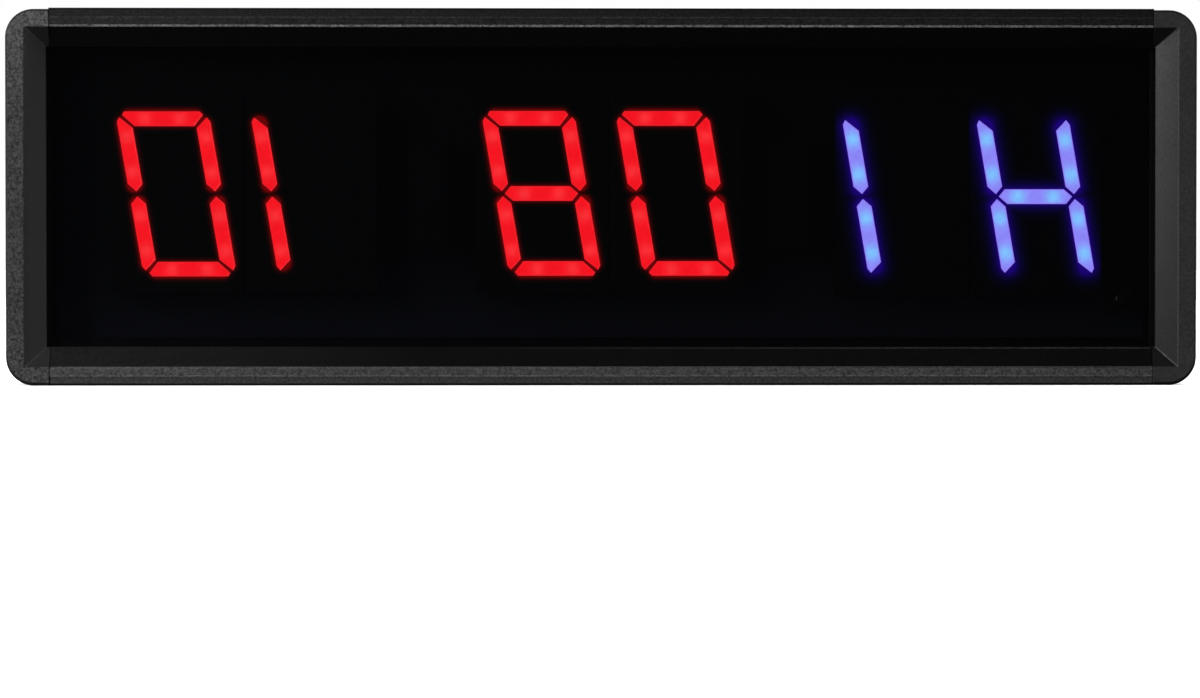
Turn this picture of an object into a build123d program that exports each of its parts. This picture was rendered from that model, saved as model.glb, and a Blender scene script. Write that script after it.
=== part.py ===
from build123d import *
import os
from math import cos, radians, sin

# Gym round timer: a long LED clock with six seven-segment digits, in millimetres.
# +X is right, +Y is back, +Z is up, as seen from the front. The origin is the centre of the
# underside, which is the outer face of the bottom rail.

# Case
CASE_WIDTH = 275.0
CASE_DEPTH = 28.0
CAP_HEIGHT = 86.7
CASE_HEIGHT = 87.0  # over both rails; the top rail stands a little proud of the caps
FRONT = -CASE_DEPTH / 2
BACK = CASE_DEPTH / 2

# End caps
CAP_WIDTH = 10.0
CAP_CORNER = 6.5
CAP_WALL = 2.1
CAP_EDGE = 0.6  # rounding of the outer front and back edges
CAP_BAND = 4.2  # flat front face around the recess
CAP_POCKET = 2.9  # how far the lens and the back plate reach into a cap
CAP_NOSE = 4.4  # thickness of the solid rim that holds the lens, along X
CAP_RIB_FRONT = -6.4  # the cap is hollow between these two depths
CAP_RIB_BACK = 9.6

# Rails: one aluminium profile, used at the bottom and upside down at the top
RAIL_END = CASE_WIDTH / 2 - CAP_WIDTH
RAIL_WALL = 1.6
RAIL_EDGE = 0.5
RAIL_BAND = 4.3
RIDGE_STEP = 2.05  # height of the set-back outer half of the front band
RIDGE_DEPTH = 0.2
BEAD = 0.45  # bevel along the inner edge of the band
BEAD_DEPTH = 0.3
CHAMBER_WALL = 1.7  # around the hollow behind the front band
CHAMBER_TOP = 5.2
CHAMBER_END = -8.4
TAP_DEPTH = 3.5  # how far the bracket holes go into the back of a rail

# Lens, in the recess
RECESS_DEPTH = 4.0
LENS_THICKNESS = 2.0
LENS_FRONT = FRONT + RECESS_DEPTH
LENS_BACK = LENS_FRONT + LENS_THICKNESS
LENS_SIGHT_Z = 8.9  # lower edge of what shows of the lens
LENS_SIGHT_X = CASE_WIDTH / 2 - 9.2
LENS_SEAT_Z = 6.7  # bottom of the lens groove
LENS_LIP_RISE = 0.5  # the lip behind the lens stands this much over the one in front
SHEET_END_PLAY = 0.2  # between the end of a sheet and the floor of its pocket or groove
GROOVE_PLAY = 0.05
LIP = 1.2

# Back plate
PLATE_FRONT = 11.05
PLATE_THICKNESS = 1.5
PLATE_BACK = PLATE_FRONT + PLATE_THICKNESS
PLATE_SEAT_Z = 9.2
PLATE_LIP_Z = 11.2
PLATE_SHELF_Z = 8.2
SOUND_HOLE_RADIUS = 0.8
SOUND_RING_RADIUS = 3.6
SOUND_HOLE_COUNT = 6

# Display board, in its own groove
BOARD_FRONT = 0.7
BOARD_BACK = 2.3
BOARD_SEAT_Z = 2.8
BOARD_RIB_Z = 6.0
BOARD_END = RAIL_END - 0.5

# Screw ports in the rails, and the self-tapping screws of the caps
PORT_Z = 8.4
PORT_DEPTHS = (-3.6, 6.9)
PORT_RADIUS = 2.6
PORT_PILOT_RADIUS = 1.2
PORT_SLOT = 1.3
PORT_WEB = 1.2
CAP_SCREW_RADIUS = 1.4
CAP_SCREW_HOLE = 1.55
CAP_SCREW_HEAD = 2.7
CAP_SCREW_CONE = 1.6
CAP_SCREW_PLAY = 0.15
CAP_SCREW_REACH = 8.0  # into the rail
CAP_SCREW_SUNK = 0.1  # the head lies this much under the cap's face
CAP_SCREW_CROSS = (0.6, 3.2, 0.8)  # width, length and depth of the cross recess
CAP_BOSS_RADIUS = 2.9

# Bracket screws (M4 x 6) and their holes in both rails
FIXING_X = 100.0
FIXING_Z = 6.0
TAP_RADIUS = 1.65
M4_RADIUS = 1.95
M4_LENGTH = 6.0
M4_HEAD_RADIUS = 3.5
M4_HEAD_HEIGHT = 2.6
M4_HEAD_ROUND = 1.4
CROSS_WIDTH = 0.9
CROSS_LENGTH = 3.8
CROSS_DEPTH = 1.3

# Brackets: an L of steel sheet, its slotted leg lying flat behind the case
SHEET = 1.4
BRACKET_GAP = 0.05
BRACKET_WIDTH = 14.0
BRACKET_LEG = 24.3
BRACKET_UPRIGHT = 13.0
BRACKET_HOLE = 2.05
BRACKET_BEND = 0.6  # inside radius of the bend
BRACKET_CORNER = 3.0
BRACKET_TIP_RISE = 5.5
SLOT_WIDTH = 5.6
SLOT_LENGTH = 14.9
SLOT_START = 6.0
BRACKET_FACE = BACK + BRACKET_GAP

# Seven-segment modules: nominal 1.5 inch digits in six rectangular modules, in three pairs
DIGIT_HEIGHT = 38.2
SLANT = 0.1714  # shift of a point to the left for each millimetre that it is higher
UPRIGHT_X = 9.1  # half the distance between a digit's two upright strokes
STROKE = 3.35
MITRE_SHIFT = 0.5  # of each segment's end, back from the corner that two segments share
BAR_POINT = (2.4, 2.55)  # from a top or bottom bar's inner corner to its outermost point
BAR_TRIM = 0.6  # how much shorter its outer edge is than that point
UPRIGHT_POINT = (2.7, 2.45)  # the same for an upright
UPRIGHT_TRIM = 1.0
WAIST_TIP = 0.62  # from the middle of the digit to the point of an upright
WAIST_RISE = 1.7
MIDDLE_TIP = 8.5
MIDDLE_POINT = 1.66
DIGIT_PITCH = 31.2
PAIR_X = (-83.15, 1.55, 85.3)
PAIR_Z = (44.25, 44.4, 43.7)
GLYPHS = ("abcdef", "ef", "abcdefg", "abcdef", "ef", "bcefg")
MODULE_WIDTH = 30.6
MODULE_HEIGHT = 46.0
MODULE_FRONT = -7.3
MODULE_BACK = BOARD_FRONT
LED_BOARD = (-0.5, BOARD_FRONT)
LED_BOARD_MARGIN = 1.0
SEGMENT_BACK = -1.3
WELL_PLAY = 0.05
LED_CHIP = (1.6, 0.6, 0.8)
LED_OFFSET = 4.2  # of the two dies from the middle of their segment
PIN_RADIUS = 0.25
PIN_HOLE = 0.4
PIN_END = 3.6
PIN_ROW = 20.0
PIN_STEP = 2.54
PINS_PER_ROW = 5

# Colons between the pairs
COLON_X = (-40.4, 43.2)
COLON_DOT_RADIUS = 2.1
COLON_DOT_Z = 6.6
COLON_HOUSING = (9.0, 24.0)
COLON_MID_Z = 44.0

# Power inlet for a 5.5 x 2.1 mm plug, in the back plate
INLET_X = 58.0
INLET_Z = 22.0
INLET_RADIUS = 4.0
INLET_FLANGE = 5.3
INLET_FRONT = 4.6
INLET_OUT = 13.9
INLET_BORE = 2.8
INLET_FLOOR = 5.8
INLET_PIN = 1.0
INLET_NUT_SIDE = 5.5
INLET_NUT_HEIGHT = 2.2
INLET_NUT_PLAY = 0.02
INLET_ROUND = 0.5
INLET_PIN_ROUND = 0.4
INLET_PIN_SUNK = 1.0  # the pin ends this much inside the mouth
INLET_GRIP = 0.3  # how far the leads reach into the body

# Electronics on the back of the board
BUZZER_X = -40.4
BUZZER_Z = 26.0
BUZZER_RADIUS = 6.0
BUZZER_HEIGHT = 7.4
BUZZER_ROUND = 0.6
BUZZER_PORT = (1.2, 1.5)  # radius and depth of the sound opening
CHIP_WIDTH = 7.5
CHIP_HEIGHT = 2.3
CHIP_PITCH = 1.27
LEAD = (0.4, 0.3, 1.3)  # width, thickness and reach of a chip's lead
MICROCONTROLLER = (18.0, 33.0, 12.8, 10)  # x, z, length, leads on each side
DRIVERS = ((-22.0, 52.0, 17.9, 14), (56.0, 52.0, 17.9, 14))
CLOCK_CHIP = (-72.0, 52.0, 5.2, 4)
CRYSTAL = (-75.0, -69.0, 42.0, 1.0)  # both ends in x, z, radius
REGULATOR = (72.0, 44.0, 6.5, 3.5, 1.6)  # x, z, width, height, thickness
RESISTOR_ROW = (-10.0, 45.0, 4.0, 16)  # first x, z, step, how many
RESISTOR_SIZE = (1.25, 2.0, 0.5)
CAPACITOR_X = (84.0, 94.0)
CAPACITOR_Z = 46.0
CAPACITOR_RADIUS = 3.15
CAPACITOR_HEIGHT = 7.0
RECEIVER_X = 121.0
RECEIVER_Z = 19.7
RECEIVER_SIZE = (5.6, 3.6, 6.6)
RECEIVER_LENS = 2.0
CELL_X = -96.0
CELL_Z = 44.0
CELL_RADIUS = 6.25
CELL_HEIGHT = 2.0
CELL_SEAT = 1.0  # over the board
CELL_ROUND = 0.4
HOLDER_WALL = 1.2
HOLDER_LIP = 0.4  # the holder's ring stands this much over the cell
HOLDER_GAP = 6.0  # opening in the ring, to lift the cell out
HEADER_X = 88.0
HEADER_Z = 34.0
HEADER_SIZE = (7.5, 6.5, 7.0)
WIRE_RADIUS = 0.8
WIRE_DEPTH = 5.6
WIRE_BEND = 3.0
WIRE_SPACING = 2.6
WIRE_STUB = (8.0, 6.0)  # straight lengths at the header and at the inlet


def block(x0, x1, y0, y1, z0, z1):
    """A box between two opposite corners."""
    centre = Pos((x0 + x1) / 2, (y0 + y1) / 2, (z0 + z1) / 2)
    return centre * Box(x1 - x0, y1 - y0, z1 - z0)


def rod_x(y, z, x0, x1, radius):
    """A cylinder along X."""
    return Pos((x0 + x1) / 2, y, z) * Rot(0, 90, 0) * Cylinder(radius, x1 - x0)


def rod_y(x, z, y0, y1, radius):
    """A cylinder along Y."""
    return Pos(x, (y0 + y1) / 2, z) * Rot(90, 0, 0) * Cylinder(radius, y1 - y0)


def prism_x(points, x0, x1):
    """A prism along X from an outline of (y, z) points."""
    face = Plane.YZ.offset(x0) * make_face(Polyline(*points, close=True))
    return extrude(face, x1 - x0, dir=(1, 0, 0))


def upside_down(shape):
    """The same shape at the top of the case."""
    return Pos(0, 0, CASE_HEIGHT) * mirror(shape, about=Plane.XY)


def other_end(shape):
    """The same shape at the left end of the case."""
    return mirror(shape, about=Plane.YZ)


def save(name, *shapes):
    """Writes one node, as one solid or as a group of separate solids."""
    solids = [solid for shape in shapes for solid in shape.solids()]
    export_step(solids[0] if len(solids) == 1 else Compound(solids), f"parts/{name}.step")


def rail():
    """The bottom rail, with its grooves for the lens, the board and the back plate."""
    band_face = FRONT + RIDGE_DEPTH
    groove_front = LENS_FRONT - GROOVE_PLAY
    groove_back = LENS_BACK + GROOVE_PLAY
    lip_back = groove_back + LIP
    board_front = BOARD_FRONT - GROOVE_PLAY
    board_back = BOARD_BACK + GROOVE_PLAY
    plate_front = PLATE_FRONT - GROOVE_PLAY
    plate_back = PLATE_BACK + GROOVE_PLAY
    outline = [
        (band_face, 0),
        (band_face, RIDGE_STEP),
        (FRONT, RIDGE_STEP + RIDGE_DEPTH),
        (FRONT, RAIL_BAND - BEAD),
        (FRONT + BEAD_DEPTH, RAIL_BAND),
        (groove_front - BEAD_DEPTH, LENS_SIGHT_Z),
        (groove_front, LENS_SIGHT_Z),
        (groove_front, LENS_SEAT_Z),
        (groove_back, LENS_SEAT_Z),
        (groove_back, LENS_SIGHT_Z + LENS_LIP_RISE),
        (lip_back, LENS_SIGHT_Z + LENS_LIP_RISE),
        (lip_back, RAIL_WALL),
        (board_front - LIP, RAIL_WALL),
        (board_front - LIP, BOARD_RIB_Z),
        (board_front, BOARD_RIB_Z),
        (board_front, BOARD_SEAT_Z),
        (board_back, BOARD_SEAT_Z),
        (board_back, BOARD_RIB_Z),
        (board_back + LIP, BOARD_RIB_Z),
        (board_back + LIP, RAIL_WALL),
        (plate_front, RAIL_WALL),
        (plate_front, PLATE_SHELF_Z),
        (plate_front - LIP, PLATE_SHELF_Z),
        (plate_front - LIP, PLATE_LIP_Z),
        (plate_front, PLATE_LIP_Z),
        (plate_front, PLATE_SEAT_Z),
        (plate_back, PLATE_SEAT_Z),
        (plate_back, PLATE_LIP_Z),
        (BACK, PLATE_LIP_Z),
        (BACK, 0),
    ]
    chamber = [
        (FRONT + CHAMBER_WALL, CHAMBER_WALL),
        (CHAMBER_END, CHAMBER_WALL),
        (CHAMBER_END, CHAMBER_TOP),
        (FRONT + 1.6 * CHAMBER_WALL, CHAMBER_TOP),
        (FRONT + CHAMBER_WALL, RAIL_BAND),
    ]
    body = prism_x(outline, -RAIL_END, RAIL_END)
    outer_edges = body.edges().filter_by(Axis.X).group_by(Axis.Z)[0]
    body = fillet(outer_edges, RAIL_EDGE)
    body -= prism_x(chamber, -RAIL_END, RAIL_END)
    for depth in PORT_DEPTHS:
        body += rod_x(depth, PORT_Z, -RAIL_END, RAIL_END, PORT_RADIUS)
        body += block(-RAIL_END, RAIL_END, depth - PORT_WEB / 2, depth + PORT_WEB / 2,
                      RAIL_WALL / 2, PORT_Z - PORT_RADIUS / 2)
        body -= rod_x(depth, PORT_Z, -RAIL_END, RAIL_END, PORT_PILOT_RADIUS)
        body -= block(-RAIL_END, RAIL_END, depth - PORT_SLOT / 2, depth + PORT_SLOT / 2,
                      PORT_Z, PORT_Z + PORT_RADIUS)
    for x in (-FIXING_X, FIXING_X):
        body -= rod_y(x, FIXING_Z, BACK - TAP_DEPTH, BACK + 1, TAP_RADIUS)
    return body


def cap_outline(inset, corner):
    """The end cap's silhouette from the front, drawn in by inset, at the right end."""
    x0 = RAIL_END
    x1 = CASE_WIDTH / 2 - inset
    z0 = inset
    z1 = CAP_HEIGHT - inset
    arc = corner * (1 - cos(radians(45)))
    edges = [
        Line((x0, z0), (x1 - corner, z0)),
        ThreePointArc((x1 - corner, z0), (x1 - arc, z0 + arc), (x1, z0 + corner)),
        Line((x1, z0 + corner), (x1, z1 - corner)),
        ThreePointArc((x1, z1 - corner), (x1 - arc, z1 - arc), (x1 - corner, z1)),
        Line((x1 - corner, z1), (x0, z1)),
        Line((x0, z1), (x0, z0)),
    ]
    return make_face(Wire(edges))


def cap_prism(inset, corner, y0, y1):
    """The silhouette as a solid between two depths."""
    return extrude(Plane.XZ.offset(-y0) * cap_outline(inset, corner), y1 - y0, dir=(0, 1, 0))


def recess():
    """The funnel from the front faces down to the lens."""
    wide = Plane.XZ.offset(-FRONT) * Pos(0, CAP_HEIGHT / 2) * Rectangle(
        CASE_WIDTH - 2 * CAP_BAND, CAP_HEIGHT - 2 * CAP_BAND)
    narrow = Plane.XZ.offset(-LENS_FRONT) * Pos(0, CASE_HEIGHT / 2) * Rectangle(
        2 * LENS_SIGHT_X, CASE_HEIGHT - 2 * LENS_SIGHT_Z)
    return loft([wide.face(), narrow.face()])


def screw_places():
    """Depth and height of the four screws of a cap."""
    heights = (PORT_Z, CASE_HEIGHT - PORT_Z)
    return [(depth, height) for depth in PORT_DEPTHS for height in heights]


def end_cap():
    """The right end cap: a hollow moulding with pockets for the lens and the back plate."""
    cap = cap_prism(0, CAP_CORNER, FRONT, BACK)
    rims = cap.edges().filter_by(lambda e: abs(abs(e.center().Y) - BACK) < 0.01)
    outer_rims = rims.filter_by(lambda e: e.center().X > RAIL_END + 0.1)
    cap = fillet(outer_rims, CAP_EDGE)
    cap -= recess()
    inner_corner = CAP_CORNER - CAP_WALL
    cap -= cap_prism(CAP_WALL, inner_corner, CAP_RIB_FRONT, CAP_RIB_BACK)
    deep = cap_prism(CAP_WALL, inner_corner, FRONT + CAP_WALL, BACK - CAP_WALL)
    cap -= deep & block(RAIL_END + CAP_NOSE, CASE_WIDTH / 2, FRONT, BACK, 0, CASE_HEIGHT)
    cap -= block(RAIL_END - 1, RAIL_END + CAP_POCKET,
                 LENS_FRONT - GROOVE_PLAY, LENS_BACK + GROOVE_PLAY,
                 LENS_SEAT_Z, CASE_HEIGHT - LENS_SEAT_Z)
    cap -= block(RAIL_END - 1, RAIL_END + CAP_POCKET,
                 PLATE_FRONT - GROOVE_PLAY, PLATE_BACK + GROOVE_PLAY,
                 PLATE_SEAT_Z, CASE_HEIGHT - PLATE_SEAT_Z)
    face = CASE_WIDTH / 2
    for depth, height in screw_places():
        cap += rod_x(depth, height, RAIL_END, face - CAP_WALL, CAP_BOSS_RADIUS)
        cap -= rod_x(depth, height, RAIL_END - 1, face + 1, CAP_SCREW_HOLE)
        cap -= cone_x(depth, height, face, CAP_SCREW_PLAY)
    return cap


def cone_x(y, z, x_face, play):
    """A countersunk cone, widest at x_face and narrowing inwards along -X."""
    shape = Cone(CAP_SCREW_RADIUS + play, CAP_SCREW_HEAD + play, CAP_SCREW_CONE)
    return Pos(x_face - CAP_SCREW_CONE / 2, y, z) * Rot(0, 90, 0) * shape


def cap_screws():
    """The four countersunk screws of the right cap."""
    head_face = CASE_WIDTH / 2 - CAP_SCREW_SUNK
    wide, long, deep = CAP_SCREW_CROSS
    screws = []
    for depth, height in screw_places():
        screw = cone_x(depth, height, head_face, 0)
        screw += rod_x(depth, height, RAIL_END - CAP_SCREW_REACH,
                       head_face - CAP_SCREW_CONE / 2, CAP_SCREW_RADIUS)
        for across, along in ((wide / 2, long / 2), (long / 2, wide / 2)):
            screw -= block(head_face - deep, head_face + 1, depth - across, depth + across,
                           height - along, height + along)
        screws.append(screw)
    return screws


def bend_edges(body, depth, height):
    """The edges along X at one depth and height."""
    edges = body.edges().filter_by(Axis.X)
    return edges.filter_by(lambda e: abs(e.center().Y - depth) + abs(e.center().Z - height) < 0.02)


def bracket():
    """The right L bracket, with its slotted leg on the ground and its upright on the case."""
    left = FIXING_X - BRACKET_WIDTH / 2
    right = FIXING_X + BRACKET_WIDTH / 2
    heel = BRACKET_FACE
    tip = heel + BRACKET_LEG
    inner = heel + SHEET
    profile = [(heel, 0), (tip, 0), (tip, SHEET), (inner, SHEET), (inner, BRACKET_UPRIGHT),
               (heel, BRACKET_UPRIGHT)]
    body = prism_x(profile, left, right)
    inside = bend_edges(body, inner, SHEET)
    body = fillet(inside, BRACKET_BEND)
    outside = bend_edges(body, heel, 0)
    body = fillet(outside, BRACKET_BEND + SHEET)
    top_corners = body.edges().filter_by(Axis.Y).group_by(Axis.Z)[-1]
    body = fillet(top_corners, BRACKET_CORNER)
    shoulder = tip - BRACKET_TIP_RISE
    far = tip + 1
    tip_waste = make_face(Wire([
        ThreePointArc((left, shoulder), (FIXING_X, tip), (right, shoulder)),
        Line((right, shoulder), (right + 1, shoulder)),
        Line((right + 1, shoulder), (right + 1, far)),
        Line((right + 1, far), (left - 1, far)),
        Line((left - 1, far), (left - 1, shoulder)),
        Line((left - 1, shoulder), (left, shoulder)),
    ]))
    body -= extrude(Plane.XY.offset(-1) * tip_waste, SHEET + 2, dir=(0, 0, 1))
    slot_centre = heel + SLOT_START + SLOT_LENGTH / 2
    slot = Pos(FIXING_X, slot_centre, -1) * Rot(0, 0, 90) * SlotOverall(SLOT_LENGTH, SLOT_WIDTH)
    body -= extrude(slot, SHEET + 2, dir=(0, 0, 1))
    body -= rod_y(FIXING_X, FIXING_Z, heel - 1, inner + 1, BRACKET_HOLE)
    return body


def bracket_screw():
    """The right M4 pan-head screw with a cross recess."""
    seat = BRACKET_FACE + SHEET + BRACKET_GAP
    top = seat + M4_HEAD_HEIGHT
    head = rod_y(FIXING_X, FIXING_Z, seat, top, M4_HEAD_RADIUS)
    rim = head.edges().sort_by(Axis.Y)[-1]
    head = fillet(rim, M4_HEAD_ROUND)
    screw = head + rod_y(FIXING_X, FIXING_Z, seat - M4_LENGTH, seat, M4_RADIUS)
    half_width = CROSS_WIDTH / 2
    half_length = CROSS_LENGTH / 2
    for across, along in ((half_width, half_length), (half_length, half_width)):
        screw -= block(FIXING_X - across, FIXING_X + across, top - CROSS_DEPTH, top + 1,
                       FIXING_Z - along, FIXING_Z + along)
    return screw


def front_lens():
    """The smoked sheet, in the grooves of the rails and the pockets of the caps."""
    end = RAIL_END + CAP_POCKET - SHEET_END_PLAY
    seat = LENS_SEAT_Z + SHEET_END_PLAY / 2
    return block(-end, end, LENS_FRONT, LENS_BACK, seat, CASE_HEIGHT - seat)


def back_plate():
    """The rear sheet, with sound holes behind the buzzer and a hole for the power inlet."""
    end = RAIL_END + CAP_POCKET - SHEET_END_PLAY
    seat = PLATE_SEAT_Z + SHEET_END_PLAY
    plate = block(-end, end, PLATE_FRONT, PLATE_BACK, seat, CASE_HEIGHT - seat)
    plate -= rod_y(INLET_X, INLET_Z, PLATE_FRONT - 1, PLATE_BACK + 1, INLET_RADIUS + GROOVE_PLAY)
    plate -= rod_y(BUZZER_X, BUZZER_Z, PLATE_FRONT - 1, PLATE_BACK + 1, SOUND_HOLE_RADIUS)
    for step in range(SOUND_HOLE_COUNT):
        angle = radians(360 / SOUND_HOLE_COUNT * step)
        x = BUZZER_X + SOUND_RING_RADIUS * cos(angle)
        z = BUZZER_Z + SOUND_RING_RADIUS * sin(angle)
        plate -= rod_y(x, z, PLATE_FRONT - 1, PLATE_BACK + 1, SOUND_HOLE_RADIUS)
    return plate


def segment_outline(name):
    """One segment's (x, z) outline about the digit's centre, before the digit is slanted."""
    top = DIGIT_HEIGHT / 2
    under = top - STROKE
    inner = UPRIGHT_X - STROKE / 2
    outer = UPRIGHT_X + STROKE / 2
    if name in "ad":
        corner = inner - MITRE_SHIFT
        point = corner + BAR_POINT[0]
        half = [(corner, under), (point, under + BAR_POINT[1]), (point - BAR_TRIM, top)]
        points = half + [(-x, z) for x, z in reversed(half)]
    elif name == "g":
        end = MIDDLE_TIP - MIDDLE_POINT
        points = [(end, -STROKE / 2), (MIDDLE_TIP, 0), (end, STROKE / 2),
                  (-end, STROKE / 2), (-MIDDLE_TIP, 0), (-end, -STROKE / 2)]
    else:
        shoulder = WAIST_TIP + WAIST_RISE
        corner = under - MITRE_SHIFT
        point = corner + UPRIGHT_POINT[1]
        points = [(inner, shoulder), (UPRIGHT_X, WAIST_TIP), (outer, shoulder),
                  (outer, point - UPRIGHT_TRIM), (inner + UPRIGHT_POINT[0], point), (inner, corner)]
    if name in "fe":
        points = [(-x, z) for x, z in points]
    if name in "dec":
        points = [(x, -z) for x, z in points]
    return points


def segment(name, x, z, y0, y1, grow):
    """One segment as a solid, slanted, with its outline widened by grow."""
    points = [(x + px - SLANT * pz, z + pz) for px, pz in segment_outline(name)]
    face = make_face(Polyline(*points, close=True))
    if grow:
        face = offset(face, grow, kind=Kind.INTERSECTION)
    return extrude(Plane.XZ.offset(-y0) * face, y1 - y0, dir=(0, 1, 0))


def digit_places():
    """Centre of each digit, from left to right."""
    places = []
    for x, z in zip(PAIR_X, PAIR_Z):
        places.append((x - DIGIT_PITCH / 2, z))
        places.append((x + DIGIT_PITCH / 2, z))
    return places


def housing(x, z):
    """A module's black shell, with a well for each segment and a seat for its board."""
    half_w = MODULE_WIDTH / 2
    half_h = MODULE_HEIGHT / 2
    body = block(x - half_w, x + half_w, MODULE_FRONT, MODULE_BACK, z - half_h, z + half_h)
    for name in "abcdefg":
        body -= segment(name, x, z, MODULE_FRONT - 1, MODULE_BACK + 1, WELL_PLAY)
    seat_w = half_w - LED_BOARD_MARGIN + WELL_PLAY
    seat_h = half_h - LED_BOARD_MARGIN + WELL_PLAY
    body -= block(x - seat_w, x + seat_w, LED_BOARD[0] - WELL_PLAY, MODULE_BACK + 1,
                  z - seat_h, z + seat_h)
    return body


def led_board(x, z):
    """The small board that closes a module from behind."""
    half_w = MODULE_WIDTH / 2 - LED_BOARD_MARGIN
    half_h = MODULE_HEIGHT / 2 - LED_BOARD_MARGIN
    board = block(x - half_w, x + half_w, LED_BOARD[0], LED_BOARD[1], z - half_h, z + half_h)
    for px, pz in pin_places(x, z):
        board -= rod_y(px, pz, LED_BOARD[0] - 1, LED_BOARD[1] + 1, PIN_HOLE)
    return board


def pin_places(x, z):
    """The ten pins of a module, in a row above and a row below its digit."""
    first = -PIN_STEP * (PINS_PER_ROW - 1) / 2
    columns = [x + first + PIN_STEP * column for column in range(PINS_PER_ROW)]
    return [(column, z + row) for row in (-PIN_ROW, PIN_ROW) for column in columns]


def led_chips(x, z):
    """Two light-emitting dies behind each of a digit's seven segments."""
    bar = (DIGIT_HEIGHT - STROKE) / 2
    upright = DIGIT_HEIGHT / 4 - 0.5
    centres = {"a": (0, bar), "g": (0, 0), "d": (0, -bar),
               "f": (-UPRIGHT_X, upright), "b": (UPRIGHT_X, upright),
               "e": (-UPRIGHT_X, -upright), "c": (UPRIGHT_X, -upright)}
    chips = []
    for name, (cx, cz) in centres.items():
        for side in (-LED_OFFSET, LED_OFFSET):
            px = cx + (side if name in "agd" else 0)
            pz = cz + (0 if name in "agd" else side)
            chips.append(chip(x + px - SLANT * pz, z + pz))
    return chips


def chip(x, z):
    """One die on the front of a module's board."""
    wide, deep, high = LED_CHIP
    return block(x - wide / 2, x + wide / 2, LED_BOARD[0] - deep, LED_BOARD[0],
                 z - high / 2, z + high / 2)


def colon_dots(x):
    """Centres of a colon's two dots."""
    return [(x - SLANT * side, COLON_MID_Z + side) for side in (-COLON_DOT_Z, COLON_DOT_Z)]


def colon_housing(x):
    """A colon's black shell with two round wells."""
    half_w = COLON_HOUSING[0] / 2
    half_h = COLON_HOUSING[1] / 2
    body = block(x - half_w, x + half_w, MODULE_FRONT, MODULE_BACK,
                 COLON_MID_Z - half_h, COLON_MID_Z + half_h)
    for px, pz in colon_dots(x):
        body -= rod_y(px, pz, MODULE_FRONT - 1, MODULE_BACK + 1, COLON_DOT_RADIUS + WELL_PLAY)
    return body


def save_digits():
    """Shell, board, lit and unlit segments of each digit, with their dies and pins."""
    chips = []
    pins = []
    for index, (x, z) in enumerate(digit_places()):
        lit = [segment(n, x, z, MODULE_FRONT, SEGMENT_BACK, 0) for n in GLYPHS[index]]
        dark = [segment(n, x, z, MODULE_FRONT, SEGMENT_BACK, 0)
                for n in "abcdefg" if n not in GLYPHS[index]]
        save(f"digit_{index + 1}_housing", housing(x, z))
        save(f"digit_{index + 1}_led_board", led_board(x, z))
        save(f"digit_{index + 1}_lit_segments", *lit)
        if dark:
            save(f"digit_{index + 1}_unlit_segments", *dark)
        chips.append(led_chips(x, z))
        pins += [rod_y(px, pz, LED_BOARD[0], PIN_END, PIN_RADIUS) for px, pz in pin_places(x, z)]
    save("red_led_chips", *[one for group in chips[:4] for one in group])
    save("blue_led_chips", *[one for group in chips[4:] for one in group])
    save("module_pins", *pins)


def save_colons():
    """Both colons, which are unlit."""
    for index, x in enumerate(COLON_X):
        save(f"colon_{index + 1}_housing", colon_housing(x))
        dots = [rod_y(px, pz, MODULE_FRONT, MODULE_BACK, COLON_DOT_RADIUS)
                for px, pz in colon_dots(x)]
        save(f"colon_{index + 1}_dots", *dots)


def display_board():
    """The long board, in the board grooves of both rails."""
    seat = BOARD_SEAT_Z + SHEET_END_PLAY
    board = block(-BOARD_END, BOARD_END, BOARD_FRONT, BOARD_BACK, seat, CASE_HEIGHT - seat)
    for x, z in digit_places():
        for px, pz in pin_places(x, z):
            board -= rod_y(px, pz, BOARD_FRONT - 1, BOARD_BACK + 1, PIN_HOLE)
    return board


def leaded_chip(x, z, length, pin_count):
    """A surface-mount chip lying along X on the back of the board, with its leads."""
    wide, thick, reach = LEAD
    body = block(x - length / 2, x + length / 2, BOARD_BACK + thick / 2, BOARD_BACK + CHIP_HEIGHT,
                 z - CHIP_WIDTH / 2, z + CHIP_WIDTH / 2)
    first = x - CHIP_PITCH * (pin_count - 1) / 2
    for index in range(pin_count):
        px = first + CHIP_PITCH * index
        body += block(px - wide / 2, px + wide / 2, BOARD_BACK, BOARD_BACK + thick,
                      z - CHIP_WIDTH / 2 - reach, z + CHIP_WIDTH / 2 + reach)
    return body


def on_back(x, z, wide, high, deep):
    """A plain block on the back of the board."""
    return block(x - wide / 2, x + wide / 2, BOARD_BACK, BOARD_BACK + deep,
                 z - high / 2, z + high / 2)


def save_electronics():
    """The parts on the display board."""
    save("microcontroller", leaded_chip(*MICROCONTROLLER))
    save("driver_chips", *[leaded_chip(*driver) for driver in DRIVERS])
    save("clock_chip", leaded_chip(*CLOCK_CHIP))
    left, right, height, radius = CRYSTAL
    save("clock_crystal", rod_x(BOARD_BACK + radius, height, left, right, radius))
    save("voltage_regulator", on_back(*REGULATOR))
    first, height, step, count = RESISTOR_ROW
    save("resistors", *[on_back(first + step * n, height, *RESISTOR_SIZE) for n in range(count)])
    cans = [rod_y(x, CAPACITOR_Z, BOARD_BACK, BOARD_BACK + CAPACITOR_HEIGHT, CAPACITOR_RADIUS)
            for x in CAPACITOR_X]
    save("capacitors", *cans)
    save_buzzer()
    save_backup_cell()
    wide, deep, high = RECEIVER_SIZE
    face = BOARD_FRONT - deep
    receiver = block(RECEIVER_X - wide / 2, RECEIVER_X + wide / 2, face, BOARD_FRONT,
                     RECEIVER_Z - high / 2, RECEIVER_Z + high / 2)
    receiver += Pos(RECEIVER_X, face, RECEIVER_Z) * Sphere(RECEIVER_LENS)
    save("ir_receiver", receiver)


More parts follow.
